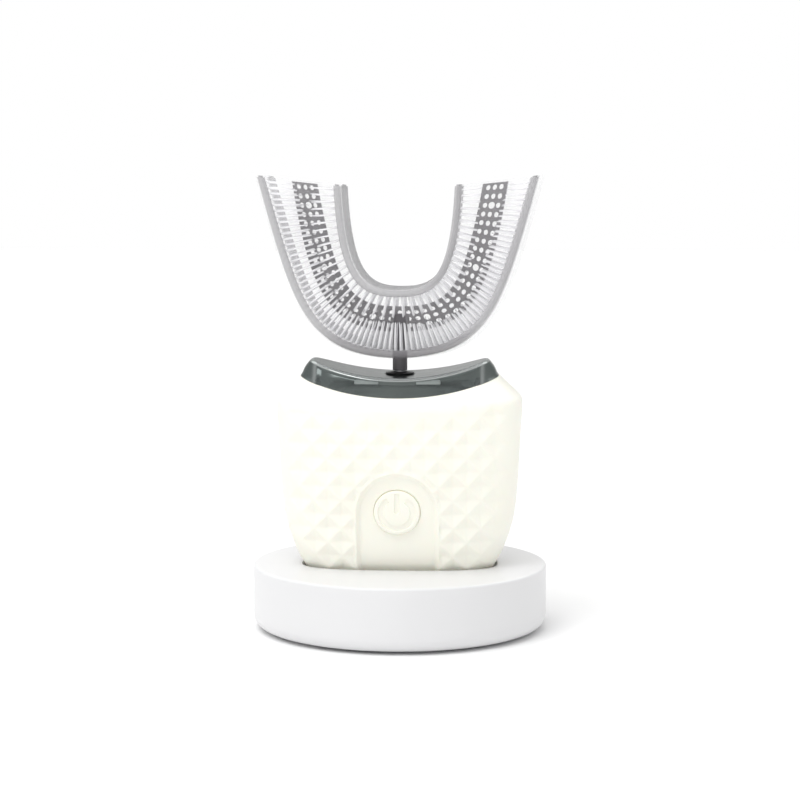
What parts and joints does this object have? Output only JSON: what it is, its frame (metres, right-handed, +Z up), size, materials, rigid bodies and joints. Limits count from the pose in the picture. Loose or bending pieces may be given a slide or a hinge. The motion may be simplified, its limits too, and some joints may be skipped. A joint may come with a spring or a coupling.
{
  "type": "electric toothbrush on charger",
  "caption": "Hands-free sonic toothbrush with a clear U-shaped bristle mouthpiece on a faceted cream handle, standing in a round white charging dock.",
  "frame": {"origin": "centre of the dock's footprint, on the surface that it stands on", "axes": "+Z up along the drive shaft, the power button faces -Y, the two arms of the mouthpiece lie along +X and -X"},
  "size_m": [0.07, 0.07, 0.1078],
  "materials": {
    "dock_white": "satin injection-moulded ABS",
    "dock_underside": "matt moulded ABS",
    "grip_cream": "satin moulded ABS with pressed diamond relief",
    "smoke_chrome": "smoke-grey electroplated ABS",
    "clear_silicone": "clear moulded silicone",
    "frame_grey": "dark grey moulded nylon",
    "light_window": "frosted polycarbonate",
    "seal_black": "moulded silicone rubber",
    "foot_grey": "moulded silicone rubber",
    "steel": "ground steel",
    "copper_wire": "enamelled copper wire",
    "ferrite": "sintered ferrite",
    "board_green": "solder-masked glass laminate",
    "component_black": "epoxy-moulded parts",
    "inner_abs": "moulded ABS",
    "cell_wrap": "shrink-wrapped steel cell",
    "bronze": "sintered bronze",
    "magnet": "nickel-plated magnet"
  },
  "bodies": {
    "dock": {"dock_shell": "dock_white", "dock_base_plate": "dock_underside", "anti_slip_ring": "foot_grey", "dock_screws": "steel", "transmit_coil": "copper_wire", "transmit_ferrite": "ferrite", "dock_board": "board_green", "dock_board_parts": "component_black", "power_inlet": "steel"},
    "handle": {"grip_shell": "grip_cream", "bottom_cap": "grip_cream", "bottom_seal": "seal_black", "bottom_screws": "steel", "receive_coil": "copper_wire", "receive_ferrite": "ferrite", "chassis": "inner_abs", "battery": "cell_wrap", "main_board": "board_green", "board_parts": "component_black", "tact_switch": "component_black", "button_membrane": "foot_grey", "collar": "smoke_chrome", "collar_seal": "seal_black", "light_windows": "light_window", "light_board": "board_green", "shaft_seal": "seal_black", "motor_can": "steel", "motor_end_cap": "inner_abs", "motor_windings": "copper_wire", "motor_damper": "seal_black", "upper_bearing": "bronze", "lower_bearing": "bronze"},
    "button": {"power_button": "grip_cream"},
    "drive": {"drive_shaft": "steel", "rotor": "magnet"},
    "mouthpiece": {"mouthpiece_tray": "clear_silicone", "mouthpiece_frame": "frame_grey", "mouthpiece_stem": "frame_grey"}
  },
  "joints": [
    {"name": "handle_lift", "type": "slide", "parent": "dock", "child": "handle", "axis": [0, 0, 1], "range_m": [0, 0.06]},
    {"name": "button_press", "type": "slide", "parent": "handle", "child": "button", "axis": [0, 0.9806, 0.1961], "range_m": [0, 0.0008], "stiffness_N_per_m": 700},
    {"name": "shaft_swing", "type": "hinge", "parent": "handle", "child": "drive", "pos_m": [0, 0, 0.04], "axis": [0, 0, 1], "range_deg": [-4, 4], "stiffness_Nm_per_rad": 0.05},
    {"name": "mouthpiece_pull_off", "type": "slide", "parent": "drive", "child": "mouthpiece", "axis": [0, 0, 1], "range_m": [0, 0.014]}
  ]
}
